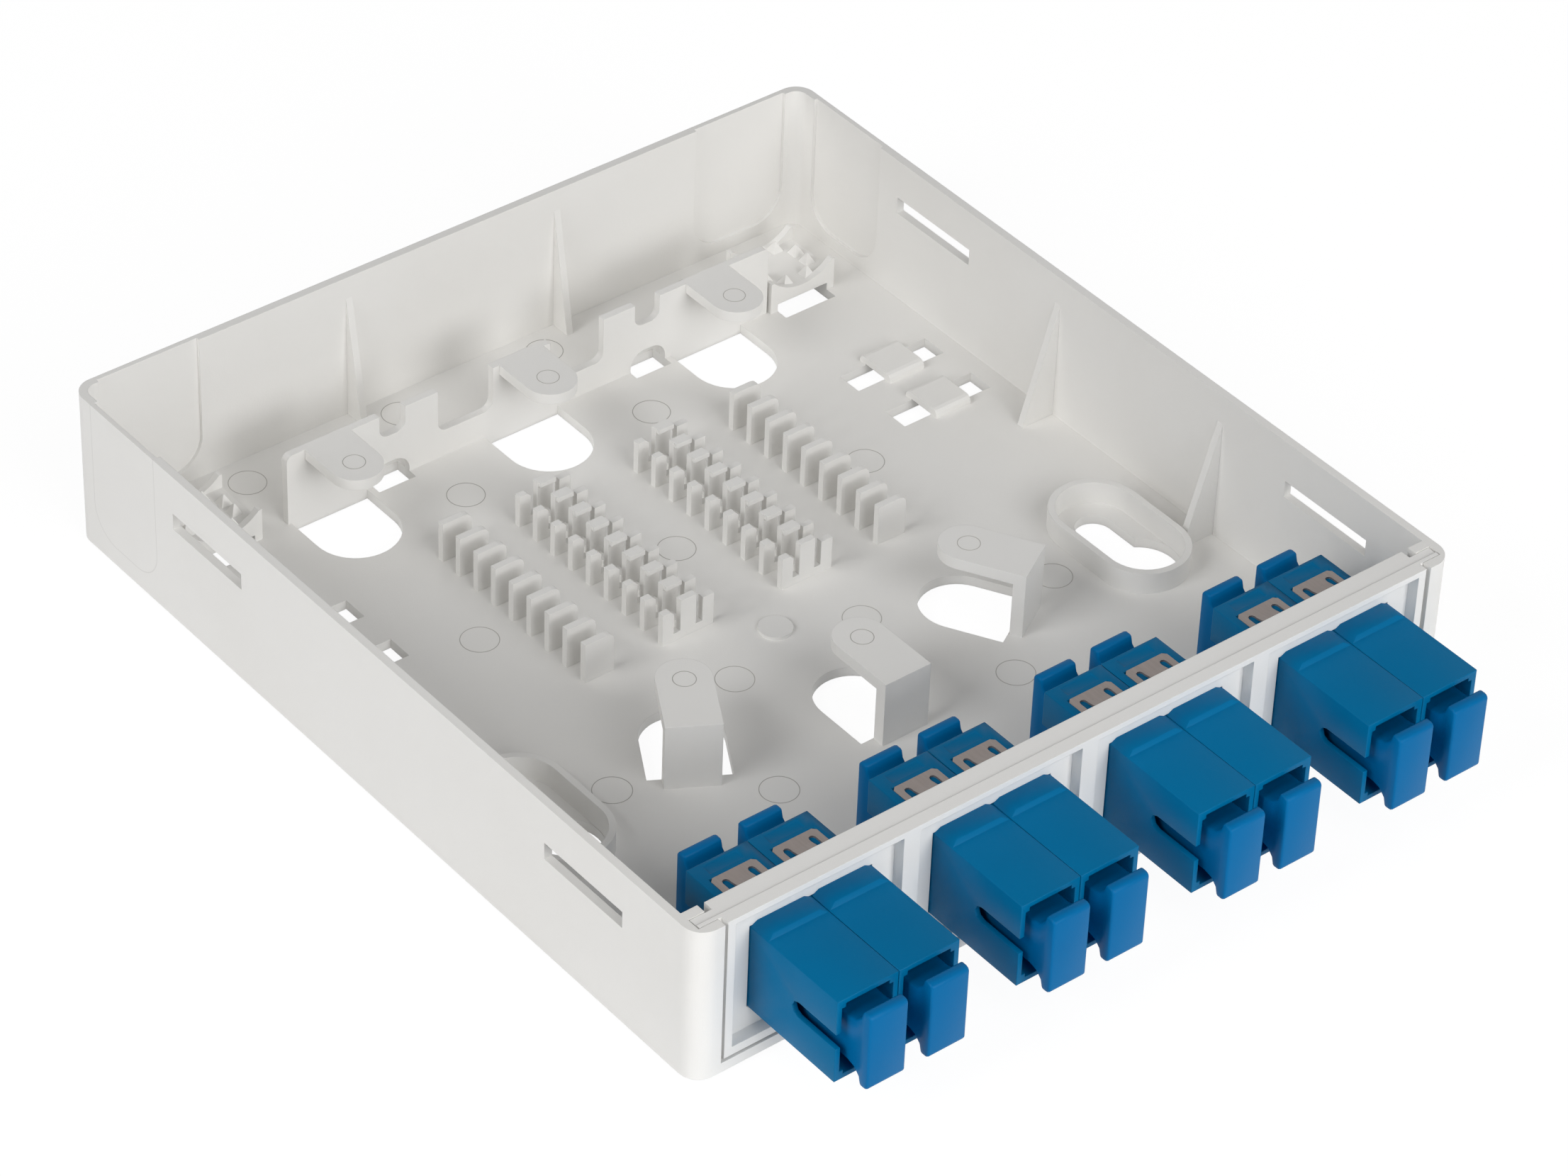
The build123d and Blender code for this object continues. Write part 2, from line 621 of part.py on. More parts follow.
# Front half of an adapter, with the stop ribs that rest on the pocket floor.
def make_front_housing():
    outline = Pos(0, ADAPTER_Z) * Rectangle(ADAPTER_W, ADAPTER_H)
    housing = along_y(outline, FRONT_FACE, PLATE_FRONT)
    rib = make_face(Polyline(
        (-STOP_BASE_W / 2, ADAPTER_H / 2),
        (STOP_BASE_W / 2, ADAPTER_H / 2),
        (STOP_TOP_W / 2, ADAPTER_H / 2 + STOP_H),
        (-STOP_TOP_W / 2, ADAPTER_H / 2 + STOP_H),
        close=True,
    ))
    stop = along_y(rib, PLATE_FRONT - STOP_L, PLATE_FRONT)
    stop = chamfer(stop.faces().sort_by(Axis.Y)[0].edges().sort_by(Axis.Z)[-1], STOP_C)
    housing += Pos(0, 0, ADAPTER_Z) * stop
    housing += Pos(0, 0, ADAPTER_Z) * mirror(stop, about=Plane.XY)
    housing -= along_y(port_outline(), FRONT_FACE - 1, PLATE_FRONT)
    seat = Pos(0, ADAPTER_Z) * Rectangle(FLANGE_W, FLANGE_H)
    housing -= along_y(seat, PLATE_FRONT - FLANGE_T, PLATE_FRONT + 1)
    return housing - key_slot(FRONT_FACE, 1)


# Rear half of an adapter, with clip recesses above and below and a bare label recess.
def make_rear_housing():
    outline = Pos(0, ADAPTER_Z) * Rectangle(ADAPTER_W, ADAPTER_H)
    housing = along_y(outline, PLATE_FRONT, REAR_FACE)
    housing -= along_y(port_outline(), PLATE_FRONT - 1, REAR_FACE + 1)
    top = ADAPTER_Z + ADAPTER_H / 2
    low = ADAPTER_Z - ADAPTER_H / 2
    clip_end = REAR_FACE - CLIP_FROM_END
    clip_start = PLATE_BACK
    housing -= block(-CLIP_W / 2, CLIP_W / 2, clip_start, clip_end, top - CLIP_T, top + 1)
    housing -= block(-CLIP_W / 2, CLIP_W / 2, clip_start, clip_end, low - 1, low + CLIP_T)
    label_end = REAR_FACE - LABEL_FROM_END
    housing -= block(-LABEL_W / 2, LABEL_W / 2, label_end - LABEL_L, label_end, top - LABEL_T, top + 1)
    return housing - key_slot(REAR_FACE, -1)


# One half of the latch insert: flange, barrel and two hooked arms that point along the port.
def latch_half():
    flange = block(-FLANGE_W / 2, FLANGE_W / 2, -FLANGE_T / 2, 0, -FLANGE_H / 2, FLANGE_H / 2)
    tip = -FLANGE_T / 2 - BARREL_L
    half = flange + along_y(small_round(BARREL_R), tip, 0)
    arm = make_face(Polyline(
        (-FLANGE_T / 4, LATCH_INSIDE),
        (tip + LATCH_HOOK_L, LATCH_INSIDE),
        (tip + LATCH_HOOK_L, LATCH_INSIDE - LATCH_HOOK),
        (tip, LATCH_INSIDE),
        (tip, LATCH_INSIDE + LATCH_T),
        (-FLANGE_T / 4, LATCH_INSIDE + LATCH_T),
        close=True,
    ))
    solid_arm = along_x(arm, -LATCH_W / 2, LATCH_W / 2)
    half = half + solid_arm + mirror(solid_arm, about=Plane.XY)
    half -= along_y(small_round(SLEEVE_R + SLEEVE_GAP), -SLEEVE_L / 2 - SLEEVE_GAP, 1)
    half -= along_y(small_round(SLEEVE_BORE_R), tip - 1, 1)
    return half


def make_latch_insert():
    front = latch_half()
    rear = mirror(front, about=Plane.XZ)
    place = Pos(0, FLANGE_Y, ADAPTER_Z)
    return Compound([place * front.solid(), place * rear.solid()])


# Split alignment sleeve inside the two barrels.
def make_sleeve():
    ring = small_round(SLEEVE_R) - small_round(SLEEVE_BORE_R)
    split = Pos(0, SLEEVE_R) * Rectangle(SLEEVE_BORE_R / 3, 2 * SLEEVE_R)
    sleeve = along_y(ring - split, -SLEEVE_L / 2, SLEEVE_L / 2)
    return Pos(0, FLANGE_Y, ADAPTER_Z) * sleeve


# Spring clips: a flat plate in each recess with a raised leaf that bears on the panel.
def make_clip():
    front = PLATE_BACK + CLIP_PANEL_GAP
    rear = REAR_FACE - CLIP_FROM_END
    base = ADAPTER_H / 2 - CLIP_T
    outline = Pos(0, (front + rear) / 2) * Rectangle(CLIP_W, rear - front)
    outline = chamfer(outline.vertices().group_by(Axis.Y)[-1], CLIP_CORNER)
    slot_end = rear - CLIP_RIM - LEAF_SLOT_W / 2
    slot_x = (LEAF_W + LEAF_SLOT_W) / 2
    outline -= Pos(0, (front + slot_end) / 2) * Rectangle(LEAF_W, slot_end - front)
    for side in (-1, 1):
        place = Pos(side * slot_x, 0)
        outline -= place * Pos(0, (front + slot_end) / 2) * Rectangle(LEAF_SLOT_W, slot_end - front)
        outline -= place * Pos(0, slot_end) * small_round(LEAF_SLOT_W / 2)
    plate = column(outline, base, base + CLIP_T)
    bend = rear - CLIP_BEND
    leaf = make_face(Polyline(
        (slot_end, base),
        (bend, base),
        (front, base + LEAF_RISE),
        (front, base + LEAF_RISE + CLIP_T),
        (bend, base + CLIP_T),
        (slot_end, base + CLIP_T),
        close=True,
    ))
    clip = plate + along_x(leaf, -LEAF_W / 2, LEAF_W / 2)
    lower = mirror(clip, about=Plane.XY)
    place = Pos(0, 0, ADAPTER_Z)
    return Compound([place * clip.solid(), place * lower.solid()])


# Dust cap for a front port: plug, flared neck and finger plate, hollow to clear the barrel.
def make_front_cap():
    half_body = CAP_BODY_H / 2
    half_plate = CAP_PLATE_H / 2
    flare = half_plate - half_body
    neck_end = FRONT_FACE - CAP_NECK
    flare_start = neck_end + flare
    back = neck_end - CAP_PLATE_T
    tip = FRONT_FACE + CAP_PLUG_L
    flared = quarter_points(flare_start, half_plate, flare, 270, -1)
    rim = [(back + CAP_CHAMFER, half_plate), (back, half_plate - CAP_CHAMFER)]
    upper = [(tip, half_body), *flared, *rim]
    lower = [(y, -z) for y, z in reversed(upper)]
    cap = along_x(make_face(Polyline(*upper, *lower, close=True)), -CAP_W / 2, CAP_W / 2)
    cap -= along_y(Rectangle(CAP_POCKET_W, CAP_POCKET_H), neck_end + CAP_POCKET_END, tip + 1)
    return Pos(0, 0, ADAPTER_Z) * cap


# The rear ports take the same cap, turned about.
def make_rear_cap(front_cap):
    middle = (FRONT_FACE + REAR_FACE) / 2
    return mirror(front_cap, about=Plane.XZ.offset(-middle))


def save(shape, name):
    export_step(shape, "parts/" + name + ".step")


save(make_tray(), "base_tray")
save(make_panel(), "adapter_panel")
pieces = {
    "housing_front": make_front_housing(),
    "housing_rear": make_rear_housing(),
    "latch_insert": make_latch_insert(),
    "sleeve": make_sleeve(),
    "clip": make_clip(),
    "cap_front": make_front_cap(),
}
pieces["cap_rear"] = make_rear_cap(pieces["cap_front"])
for number, x in enumerate(ADAPTER_XS, start=1):
    for kind, shape in pieces.items():
        save(Pos(x, 0, 0) * shape, kind + "_" + str(number))
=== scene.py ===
"""Wall mount fibre patch box: finishes, softened edges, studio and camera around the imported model."""

import json
import logging
import math
from dataclasses import dataclass, field
from enum import Enum

import bmesh
import bpy
from mathutils import Matrix, Vector

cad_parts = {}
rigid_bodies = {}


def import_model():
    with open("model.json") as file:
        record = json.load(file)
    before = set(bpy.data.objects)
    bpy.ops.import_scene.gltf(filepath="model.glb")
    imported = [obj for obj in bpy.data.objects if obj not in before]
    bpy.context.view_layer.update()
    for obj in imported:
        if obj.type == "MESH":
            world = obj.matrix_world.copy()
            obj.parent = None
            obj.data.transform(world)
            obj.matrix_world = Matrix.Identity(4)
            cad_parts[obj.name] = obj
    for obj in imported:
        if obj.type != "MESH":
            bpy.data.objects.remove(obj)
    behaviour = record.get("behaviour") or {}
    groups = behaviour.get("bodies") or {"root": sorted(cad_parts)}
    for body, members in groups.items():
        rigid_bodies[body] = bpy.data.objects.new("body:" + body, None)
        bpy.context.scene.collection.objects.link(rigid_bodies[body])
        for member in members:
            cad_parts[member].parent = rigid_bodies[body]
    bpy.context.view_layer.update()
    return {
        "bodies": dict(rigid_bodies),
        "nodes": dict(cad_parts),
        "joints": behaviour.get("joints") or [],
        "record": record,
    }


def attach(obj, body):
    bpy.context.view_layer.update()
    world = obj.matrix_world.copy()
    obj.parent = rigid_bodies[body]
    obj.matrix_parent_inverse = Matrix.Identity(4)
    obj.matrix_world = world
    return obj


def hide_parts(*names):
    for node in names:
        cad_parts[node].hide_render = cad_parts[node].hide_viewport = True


LOG = logging.getLogger("patch_box")
PHOTO_WIDTH = 2212
MM = 0.001
ADAPTER_COUNT = 8

Colour = tuple[float, float, float]
Place = tuple[float, float, float]
Socket = bpy.types.NodeSocket


class Slot(Enum):
    """Material slots of the record."""

    TRAY = "tray_plastic"
    PANEL = "panel_plastic"
    HOUSING = "housing_blue"
    CAP = "cap_blue"
    INSERT = "insert_plastic"
    SLEEVE = "sleeve_ceramic"
    CLIP = "clip_steel"


class Side(Enum):
    """The two faces of the adapter panel that hold ports."""

    FRONT = "front"
    REAR = "rear"


@dataclass(frozen=True)
class Noise:
    """Settings of one noise pattern, with its scale in waves per metre."""

    scale: float
    detail: float = 2.0
    roughness: float = 0.5


@dataclass
class NodeSheet:
    """A small helper that lays nodes out in one material's tree."""

    tree: bpy.types.NodeTree

    def add(self, kind: str, **values: object) -> bpy.types.Node:
        """Add a node and set its properties.

        Args:
            kind: The node's type name without the ShaderNode prefix.
            values: Properties to set on the node.

        Returns:
            The new node.
        """
        node = self.tree.nodes.new("ShaderNode" + kind)
        for name, value in values.items():
            setattr(node, name, value)
        return node

    def join(self, source: Socket, target: Socket) -> None:
        """Link one socket to another."""
        self.tree.links.new(source, target)

    def calculate(self, operation: str, first: Socket | float, second: Socket | float) -> Socket:
        """Add one step of arithmetic.

        Args:
            operation: The step's name.
            first: A socket or a plain number.
            second: A socket or a plain number.

        Returns:
            The socket of the result.
        """
        step = self.add("Math", operation=operation)
        for slot, value in zip(step.inputs, (first, second)):
            if isinstance(value, float):
                slot.default_value = value
            else:
                self.join(value, slot)
        return step.outputs["Value"]

    def object_place(self) -> Socket:
        """Return a socket with the place on the object, in metres."""
        return self.add("TexCoord").outputs["Object"]

    def noise(self, place: Socket, pattern: Noise) -> Socket:
        """Add a noise pattern.

        Args:
            place: The coordinates that the pattern follows.
            pattern: The pattern's settings.

        Returns:
            A socket with the pattern's value from nothing to one.
        """
        cloud = self.add("TexNoise", noise_dimensions="3D")
        cloud.inputs["Scale"].default_value = pattern.scale
        cloud.inputs["Detail"].default_value = pattern.detail
        cloud.inputs["Roughness"].default_value = pattern.roughness
        self.join(place, cloud.inputs["Vector"])
        return cloud.outputs["Fac"]

    def tint(
        self, amount: Socket, low: Colour, high: Colour, span: tuple[float, float] = (0.0, 1.0)
    ) -> Socket:
        """Blend two colours by a pattern.

        Args:
            amount: The pattern.
            low: The colour at the low end of the span.
            high: The colour at its high end.
            span: The stretch of the pattern over which the colours blend.

        Returns:
            A socket with the blended colour.
        """
        ramp = self.add("ValToRGB")
        for stop, position, colour in zip(ramp.color_ramp.elements, span, (low, high)):
            stop.position = position
            stop.color = (*colour, 1.0)
        self.join(amount, ramp.inputs["Fac"])
        return ramp.outputs["Color"]

    def spread(self, amount: Socket, low: float, high: float) -> Socket:
        """Spread a pattern between two values.

        Args:
            amount: The pattern.
            low: The value where the pattern is nothing.
            high: The value where it is one.

        Returns:
            A socket with the value.
        """
        scale = self.add("MapRange")
        scale.inputs["To Min"].default_value = low
        scale.inputs["To Max"].default_value = high
        self.join(amount, scale.inputs["Value"])
        return scale.outputs["Result"]

    def relief(self, height: Socket, strength: float, depth: float) -> bpy.types.Node:
        """Turn a pattern into a fine relief.

        Args:
            height: The pattern.
            strength: How strongly the relief shows.
            depth: The relief's depth in metres.

        Returns:
            The node that bends the surface's normal.
        """
        bump = self.add("Bump")
        bump.inputs["Strength"].default_value = strength
        bump.inputs["Distance"].default_value = depth
        self.join(height, bump.inputs["Height"])
        return bump

    def background_rays(self) -> Socket:
        """Return a socket that is one for camera, glossy and transmission rays, else nothing."""
        rays = self.add("LightPath")
        seen = self.calculate("MAXIMUM", rays.outputs["Is Camera Ray"], rays.outputs["Is Glossy Ray"])
        return self.calculate("MAXIMUM", seen, rays.outputs["Is Transmission Ray"])


def new_material(name: str) -> tuple[bpy.types.Material, NodeSheet, bpy.types.Node]:
    """Start a material with an empty tree and a surface shader.

    Args:
        name: The material's name.

    Returns:
        The material, its node helper and its surface shader node.
    """
    material = bpy.data.materials.new(name)
    material.use_nodes = True
    material.node_tree.nodes.clear()
    sheet = NodeSheet(material.node_tree)
    shader = sheet.add("BsdfPrincipled")
    output = sheet.add("OutputMaterial")
    sheet.join(shader.outputs["BSDF"], output.inputs["Surface"])
    return material, sheet, shader


def darker(colour: Colour, share: float) -> Colour:
    """Return a share of a colour's light."""
    return tuple(part * share for part in colour)


@dataclass(frozen=True)
class MouldedPlastic:
    """Injection-moulded plastic with a spark-eroded grain and faint flow marks.

    The colour ramp runs from the shade to the colour over the flow span, and lengths are in metres.
    """

    name: str
    colour: Colour
    shade: Colour
    roughness: float
    grain_scale: float
    grain_depth: float
    edge_radius: float
    specular: float = 0.5
    flow: Noise = Noise(scale=38.0, detail=3.0, roughness=0.55)
    flow_span: tuple[float, float] = (0.32, 0.62)
    gloss_below: float = 0.06
    gloss_above: float = 0.08
    grain_roughness: float = 0.6
    grain_strength: float = 0.35
    edge_samples: int = 6

    def build(self) -> bpy.types.Material:
        """Build the material's nodes.

        Returns:
            The finished material.
        """
        material, sheet, shader = new_material(self.name)
        place = sheet.object_place()
        flow = sheet.noise(place, self.flow)
        tint = sheet.tint(flow, self.shade, self.colour, self.flow_span)
        sheet.join(tint, shader.inputs["Base Color"])
        gloss = sheet.spread(flow, self.roughness - self.gloss_below, self.roughness + self.gloss_above)
        sheet.join(gloss, shader.inputs["Roughness"])
        edge = sheet.add("Bevel", samples=self.edge_samples)
        edge.inputs["Radius"].default_value = self.edge_radius
        grain = sheet.noise(place, Noise(self.grain_scale, roughness=self.grain_roughness))
        relief = sheet.relief(grain, self.grain_strength, self.grain_depth)
        sheet.join(edge.outputs["Normal"], relief.inputs["Normal"])
        sheet.join(relief.outputs["Normal"], shader.inputs["Normal"])
        shader.inputs["Specular IOR Level"].default_value = self.specular
        return material


@dataclass(frozen=True)
class EntryScore:
    """U-shaped score groove of a break-out entry on the outer face of a wall, drawn as a painted shade line,
    in millimetres.

    The wall is named by the axis it faces and the axis that runs along it, 0 for X and 1 for Y.
    """

    faces: int
    face_from: float
    along: int
    centre: float
    half_width: float
    low: float = 3.5
    radius: float = 5.0
    half_line: float = 0.08

    def mask(self, sheet: NodeSheet, axes: tuple[Socket, ...]) -> Socket:
        """Draw the painted shade line of the groove as a mask.

        Args:
            sheet: The material's node helper.
            axes: The distances from the middle in X, along Y and up Z, in metres.

        Returns:
            A socket that is one on the line and nothing elsewhere.
        """
        offset = sheet.calculate("SUBTRACT", axes[self.along], self.centre * MM)
        beside = sheet.calculate("ABSOLUTE", offset, 0.0)
        beside = sheet.calculate("SUBTRACT", beside, (self.half_width - self.radius) * MM)
        beside = sheet.calculate("MAXIMUM", beside, 0.0)
        below = sheet.calculate("SUBTRACT", (self.low + self.radius) * MM, axes[2])
        below = sheet.calculate("MAXIMUM", below, 0.0)
        square = sheet.calculate("MULTIPLY", beside, beside)
        other = sheet.calculate("MULTIPLY", below, below)
        reach = sheet.calculate("SQRT", sheet.calculate("ADD", square, other), 0.0)
        gap = sheet.calculate("ABSOLUTE", sheet.calculate("SUBTRACT", reach, self.radius * MM), 0.0)
        line = sheet.calculate("LESS_THAN", gap, self.half_line * MM)
        outside = sheet.calculate("GREATER_THAN", axes[self.faces], self.face_from * MM)
        return sheet.calculate("MULTIPLY", line, outside)


@dataclass(frozen=True)
class ScoredPlastic(MouldedPlastic):
    """Moulded plastic with painted shade lines that stand for the score grooves round the break-out entries.
    """

    scores: tuple[EntryScore, ...] = ()
    # Painted shade: this dark colour and its strength stand in for the shadow inside the score grooves.
    groove_shade_colour: Colour = (0.35, 0.34, 0.32)
    line_strength: float = 0.16

    def build(self) -> bpy.types.Material:
        """Build the moulded plastic and lay painted shade for the score grooves over its colour.

        Returns:
            The finished material.
        """
        material = super().build()
        sheet = NodeSheet(material.node_tree)
        shader = next(n for n in material.node_tree.nodes if n.bl_idname == "ShaderNodeBsdfPrincipled")
        plain = shader.inputs["Base Color"].links[0].from_socket
        split = sheet.add("SeparateXYZ")
        sheet.join(sheet.object_place(), split.inputs["Vector"])
        from_middle = sheet.calculate("ABSOLUTE", split.outputs["X"], 0.0)
        axes = (from_middle, split.outputs["Y"], split.outputs["Z"])
        groove_shade_masks = [score.mask(sheet, axes) for score in self.scores]
        lines = groove_shade_masks[0]
        for mask in groove_shade_masks[1:]:
            lines = sheet.calculate("MAXIMUM", lines, mask)
        # Painted shade: the grooves' shadow is multiplied into the base colour as dark lines.
        blend = sheet.add("MixRGB", blend_type="MULTIPLY")
        blend.inputs["Color2"].default_value = (*self.groove_shade_colour, 1.0)
        sheet.join(sheet.calculate("MULTIPLY", lines, self.line_strength), blend.inputs["Fac"])
        sheet.join(plain, blend.inputs["Color1"])
        sheet.join(blend.outputs["Color"], shader.inputs["Base Color"])
        return material


@dataclass(frozen=True)
class SpringSteel:
    """Rolled spring steel with brush lines along Y and a faint warm cast."""

    name: str
    colour: Colour
    roughness: float
    metallic: float = 0.45
    line_scale: tuple[float, float, float] = (2600.0, 160.0, 2600.0)
    lines: Noise = Noise(scale=1.0, detail=3.0)
    line_shade: float = 0.72
    gloss_below: float = 0.08
    gloss_above: float = 0.12
    line_strength: float = 0.25
    line_depth: float = 0.02 * MM

    def build(self) -> bpy.types.Material:
        """Build the material's nodes.

        Returns:
            The finished material.
        """
        material, sheet, shader = new_material(self.name)
        stretch = sheet.add("Mapping")
        stretch.inputs["Scale"].default_value = self.line_scale
        sheet.join(sheet.object_place(), stretch.inputs["Vector"])
        lines = sheet.noise(stretch.outputs["Vector"], self.lines)
        tint = sheet.tint(lines, darker(self.colour, self.line_shade), self.colour)
        sheet.join(tint, shader.inputs["Base Color"])
        gloss = sheet.spread(lines, self.roughness - self.gloss_below, self.roughness + self.gloss_above)
        sheet.join(gloss, shader.inputs["Roughness"])
        relief = sheet.relief(lines, self.line_strength, self.line_depth)
        sheet.join(relief.outputs["Normal"], shader.inputs["Normal"])
        shader.inputs["Metallic"].default_value = self.metallic
        return material


@dataclass(frozen=True)
class PolishedCeramic:
    """White sintered ceramic with a clear polish."""

    name: str
    colour: Colour
    cloud: Noise = Noise(scale=420.0)
    cloud_shade: float = 0.94
    roughness: float = 0.16
    polish: float = 0.3

    def build(self) -> bpy.types.Material:
        """Build the material's nodes.

        Returns:
            The finished material.
        """
        material, sheet, shader = new_material(self.name)
        cloud = sheet.noise(sheet.object_place(), self.cloud)
        tint = sheet.tint(cloud, darker(self.colour, self.cloud_shade), self.colour)
        sheet.join(tint, shader.inputs["Base Color"])
        shader.inputs["Roughness"].default_value = self.roughness
        shader.inputs["Coat Weight"].default_value = self.polish
        return material


FINISHES = {
    Slot.TRAY: ScoredPlastic(
        name="tray off-white",
        colour=(0.885, 0.875, 0.852),
        shade=(0.865, 0.853, 0.827),
        roughness=0.46,
        grain_scale=5200.0,
        grain_depth=0.04 * MM,
        edge_radius=0.09 * MM,
        scores=(
            EntryScore(faces=0, face_from=62.1, along=1, centre=55.75, half_width=7.45),
            EntryScore(faces=1, face_from=67.9, along=0, centre=50.45, half_width=8.05),
        ),
    ),
    Slot.PANEL: MouldedPlastic(
        name="panel off-white",
        colour=(0.900, 0.892, 0.872),
        shade=(0.880, 0.870, 0.848),
        roughness=0.46,
        grain_scale=5200.0,
        grain_depth=0.04 * MM,
        edge_radius=0.12 * MM,
    ),
    Slot.HOUSING: MouldedPlastic(
        name="housing blue",
        colour=(0.0, 0.156, 0.350),
        shade=(0.0, 0.142, 0.320),
        roughness=0.34,
        grain_scale=6400.0,
        grain_depth=0.05 * MM,
        edge_radius=0.16 * MM,
        specular=0.08,
    ),
    Slot.CAP: MouldedPlastic(
        name="cap blue",
        colour=(0.0, 0.152, 0.392),
        shade=(0.0, 0.143, 0.372),
        roughness=0.32,
        grain_scale=5200.0,
        grain_depth=0.03 * MM,
        edge_radius=0.28 * MM,
        specular=0.08,
    ),
    Slot.INSERT: MouldedPlastic(
        name="insert natural",
        colour=(0.78, 0.75, 0.68),
        shade=(0.74, 0.71, 0.64),
        roughness=0.40,
        grain_scale=5200.0,
        grain_depth=0.03 * MM,
        edge_radius=0.12 * MM,
    ),
    Slot.SLEEVE: PolishedCeramic(name="sleeve ceramic", colour=(0.88, 0.87, 0.83)),
    Slot.CLIP: SpringSteel(name="clip steel", colour=(0.33, 0.285, 0.265), roughness=0.40),
}

# Painted shade: a dark ring colour that stands in for the shadow inside the fine groove round each ejector
# pin mark.
PIN_SHADE_LINE = MouldedPlastic(
    name="tray pin shade line",
    colour=(0.56, 0.54, 0.51),
    shade=(0.40, 0.385, 0.36),
    roughness=0.60,
    grain_scale=5200.0,
    grain_depth=0.04 * MM,
    edge_radius=0.02 * MM,
)


@dataclass
class Workshop:
    """Holds the finished materials and dresses the nodes of the frame."""

    frame: dict
    materials: dict[Slot, bpy.types.Material] = field(default_factory=dict)
    shading_angle: float = math.radians(35)
    merge_distance: float = 0.001 * MM
    flat_angle: float = math.radians(1.0)
    sharp_angle: float = math.radians(40)
    edge_segments: int = 2

    def prepare(self) -> None:
        """Build every finish once."""
        for slot, finish in FINISHES.items():
            self.materials[slot] = finish.build()

    def dress(self, node: str, slot: Slot) -> None:
        """Give a node of the frame its finish.

        Args:
            node: The node's name.
            slot: The record's material slot.
        """
        data = self.frame["nodes"][node].data
        data.materials.clear()
        data.materials.append(self.materials[slot])
        LOG.info("dressed %s with %s", node, slot.value)

    def place(self, mesh: bmesh.types.BMesh, name: str, body: str, slot: Slot) -> bpy.types.Object:
        """Turn a finished mesh into a piece that rides on a body.

        Args:
            mesh: The mesh in the frame's own place, freed here.
            name: The piece's name.
            body: The body that the piece rides on.
            slot: The record's material slot.

        Returns:
            The new piece.
        """
        data = bpy.data.meshes.new(name)
        mesh.to_mesh(data)
        mesh.free()
        piece = bpy.data.objects.new(name, data)
        bpy.context.scene.collection.objects.link(piece)
        data.materials.append(self.materials[slot])
        data.shade_smooth()
        data.set_sharp_from_angle(angle=self.shading_angle)
        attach(piece, body)
        LOG.info("built %s", name)
        return piece

    def soften(self, node: str, body: str, slot: Slot, radius: float) -> None:
        """Replace a node by a copy whose sharp edges are rounded.

        Args:
            node: The node's name.
            body: The body that the copy rides on.
            slot: The record's material slot.
            radius: The edge radius in metres.
        """
        source = self.frame["nodes"][node]
        mesh = bmesh.new()
        mesh.from_mesh(source.data)
        mesh.transform(source.matrix_world)
        bmesh.ops.remove_doubles(mesh, verts=mesh.verts, dist=self.merge_distance)
        bmesh.ops.dissolve_limit(
            mesh, angle_limit=self.flat_angle, use_dissolve_boundaries=False,
            verts=mesh.verts, edges=mesh.edges, delimit={"NORMAL"},
        )
        shared = [e for e in mesh.edges if len(e.link_faces) == 2]
        sharp = [e for e in shared if e.calc_face_angle(0.0) > self.sharp_angle]
        bmesh.ops.bevel(
            mesh, geom=sharp, offset=radius, offset_type="OFFSET", segments=self.edge_segments, profile=0.5,
            affect="EDGES", material=-1, clamp_overlap=True, loop_slide=True,
        )
        bmesh.ops.triangulate(mesh, faces=mesh.faces)
        piece = self.place(mesh, node + "_soft", body, slot)
        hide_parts(node)


@dataclass(frozen=True)
class WitnessRing:
    """A thin flat ring that carries the painted shade of the fine groove an ejector pin leaves in a
    moulding, in millimetres.
    """

    x: float
    y: float
    z: float
    radius: float
    width: float = 0.11
    rise: float = 0.02
    steps: int = 72

    def add_to(self, mesh: bmesh.types.BMesh) -> None:
        """Spin the line's small section around the ring's own axis.

        Args:
            mesh: The mesh that receives the ring.
        """
        inner = self.x + self.radius - self.width
        outer = self.x + self.radius
        section = ((inner, self.z - self.rise), (inner, self.z + self.rise))
        section += ((outer, self.z + self.rise), (outer, self.z - self.rise))
        corners = [mesh.verts.new((x * MM, self.y * MM, z * MM)) for x, z in section]
        edges = [mesh.edges.new((corners[i], corners[(i + 1) % 4])) for i in range(4)]
        bmesh.ops.spin(
            mesh, geom=corners + edges, cent=(self.x * MM, self.y * MM, 0.0), axis=(0.0, 0.0, 1.0),
            angle=2 * math.pi, steps=self.steps, use_merge=True,
        )


